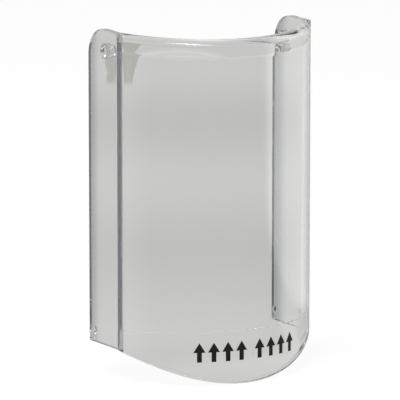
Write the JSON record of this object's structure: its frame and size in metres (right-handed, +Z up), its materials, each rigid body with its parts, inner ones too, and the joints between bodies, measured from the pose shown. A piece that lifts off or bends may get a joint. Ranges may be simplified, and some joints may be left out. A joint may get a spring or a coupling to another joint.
{
  "type": "hinged protective cover",
  "caption": "Clear polycarbonate lift-up cover with a bowed front, flat eared sides and hinge pegs that turn in side bushes.",
  "frame": {"origin": "middle of the closed cover's outline seen from above, level with the lowest point of the lift lip", "axes": "+Z up, the bowed front faces -Y and the open back +Y, +X to the right of someone facing the front"},
  "size_m": [0.0872, 0.0474, 0.1368],
  "materials": {
    "clear_polycarbonate": "clear polycarbonate, polished",
    "clear_bush": "clear moulded polycarbonate",
    "black_ink": "black screen-print ink"
  },
  "bodies": {
    "bushes": {"left_pivot_bush": "clear_bush", "right_pivot_bush": "clear_bush"},
    "cover": {"front_panel": "clear_polycarbonate", "left_side_panel": "clear_polycarbonate", "right_side_panel": "clear_polycarbonate", "left_hinge_peg": "clear_polycarbonate", "right_hinge_peg": "clear_polycarbonate", "left_catch_pip": "clear_polycarbonate", "right_catch_pip": "clear_polycarbonate", "printed_lift_arrows": "black_ink"}
  },
  "joints": [
    {"name": "cover_hinge", "type": "hinge", "parent": "bushes", "child": "cover", "pos_m": [0, 0.01365, 0.128], "axis": [-1, 0, 0], "range_deg": [0, 95]}
  ]
}
